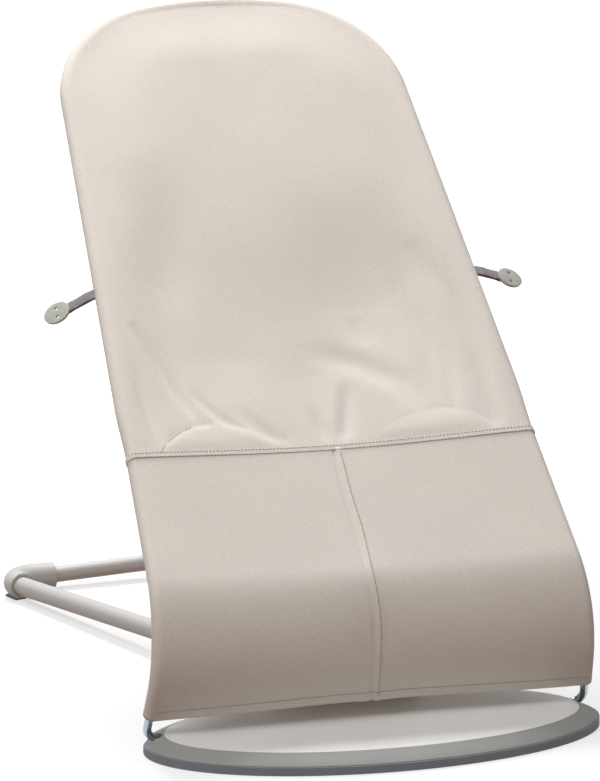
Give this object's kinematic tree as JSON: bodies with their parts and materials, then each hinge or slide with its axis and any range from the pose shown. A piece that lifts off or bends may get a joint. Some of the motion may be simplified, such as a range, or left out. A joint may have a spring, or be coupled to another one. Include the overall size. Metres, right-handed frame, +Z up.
{
  "type": "baby bouncer seat",
  "caption": "Folding baby bouncer: a fabric seat on a sprung hoop that turns on an oval foot plate, with a V of floor tubes and a hinged recline support behind.",
  "frame": {"origin": "on the floor under the centre of the oval foot plate", "axes": "+X across the seat to the sitter's left hand side as seen from the front, +Y from the foot plate towards the head end, +Z up"},
  "size_m": [0.4273, 0.6435, 0.5431],
  "materials": {
    "grey_plastic": "fine satin grain",
    "dark_rubber": "matt",
    "zinc_steel": "bright zinc plating",
    "painted_tube": "satin powder coat",
    "dark_nylon": "moulded nylon",
    "cover_fabric": "fine plain weave",
    "strap_elastic": "knitted elastic",
    "toggle_plastic": "satin"
  },
  "bodies": {
    "base": {"foot_plate_shell": "grey_plastic", "foot_plate_underside": "grey_plastic", "foot_plate_rubber": "dark_rubber", "plate_screws": "zinc_steel", "tube_socket": "grey_plastic", "base_tube_left": "painted_tube", "base_tube_right": "painted_tube", "rear_cross_tube": "painted_tube", "rear_corner_left": "grey_plastic", "rear_corner_right": "grey_plastic", "rear_foot_left": "dark_rubber", "rear_foot_right": "dark_rubber", "support_clamp_left": "grey_plastic", "support_clamp_right": "grey_plastic"},
    "spring_rods": {"hinge_bush_left": "dark_nylon", "hinge_bush_right": "dark_nylon", "spring_rod_left": "zinc_steel", "spring_rod_right": "zinc_steel"},
    "seat": {"rod_plug_left": "dark_nylon", "rod_plug_right": "dark_nylon", "hoop_side_left": "painted_tube", "hoop_side_right": "painted_tube", "hoop_arch": "painted_tube", "cross_bar_lower": "painted_tube", "cross_bar_upper": "painted_tube", "cross_bar_clips": "dark_nylon", "recline_rack_left": "dark_nylon", "recline_rack_right": "dark_nylon", "rack_screws": "zinc_steel", "cover_front_upper": "cover_fabric", "cover_front_lower": "cover_fabric", "cover_back": "cover_fabric"},
    "support": {"support_frame": "painted_tube"},
    "strap_left": {"elastic_strap_left": "strap_elastic"},
    "toggle_left": {"toggle_left": "toggle_plastic"},
    "strap_right": {"elastic_strap_right": "strap_elastic"},
    "toggle_right": {"toggle_right": "toggle_plastic"}
  },
  "joints": [
    {"name": "seat_recline", "type": "hinge", "parent": "base", "child": "spring_rods", "pos_m": [0, 0.019, 0.0095], "axis": [1, 0, 0], "range_deg": [-38, 0]},
    {"name": "seat_bounce", "type": "hinge", "parent": "spring_rods", "child": "seat", "pos_m": [0, 0.33292, 0.3199], "axis": [1, 0, 0], "range_deg": [0, 2.2], "stiffness_Nm_per_rad": 250, "springref_deg": -0.34, "deforming": ["spring_rod_left", "spring_rod_right"]},
    {"name": "support_fold", "type": "hinge", "parent": "base", "child": "support", "pos_m": [0, 0.2, 0.045], "axis": [1, 0, 0], "range_deg": [-62.93, 0]},
    {"name": "strap_left_swing", "type": "hinge", "parent": "seat", "child": "strap_left", "pos_m": [-0.16874, 0.25349, 0.3321], "axis": [0, 0.766, 0.6428], "range_deg": [-20, 70], "stiffness_Nm_per_rad": 0.004},
    {"name": "toggle_left_tilt", "type": "hinge", "parent": "strap_left", "child": "toggle_left", "pos_m": [-0.18746, 0.26289, 0.3209], "axis": [0, 0.766, 0.6428], "range_deg": [-45, 45]},
    {"name": "strap_right_swing", "type": "hinge", "parent": "seat", "child": "strap_right", "pos_m": [0.16874, 0.25349, 0.3321], "axis": [0, 0.766, 0.6428], "range_deg": [-55, 35], "stiffness_Nm_per_rad": 0.004},
    {"name": "toggle_right_tilt", "type": "hinge", "parent": "strap_right", "child": "toggle_right", "pos_m": [0.19091, 0.25897, 0.32559], "axis": [0, 0.766, 0.6428], "range_deg": [-45, 45]}
  ],
  "couplings": [
    {"joint": "support_fold", "follows": "seat_recline", "ratio": 1.643}
  ]
}
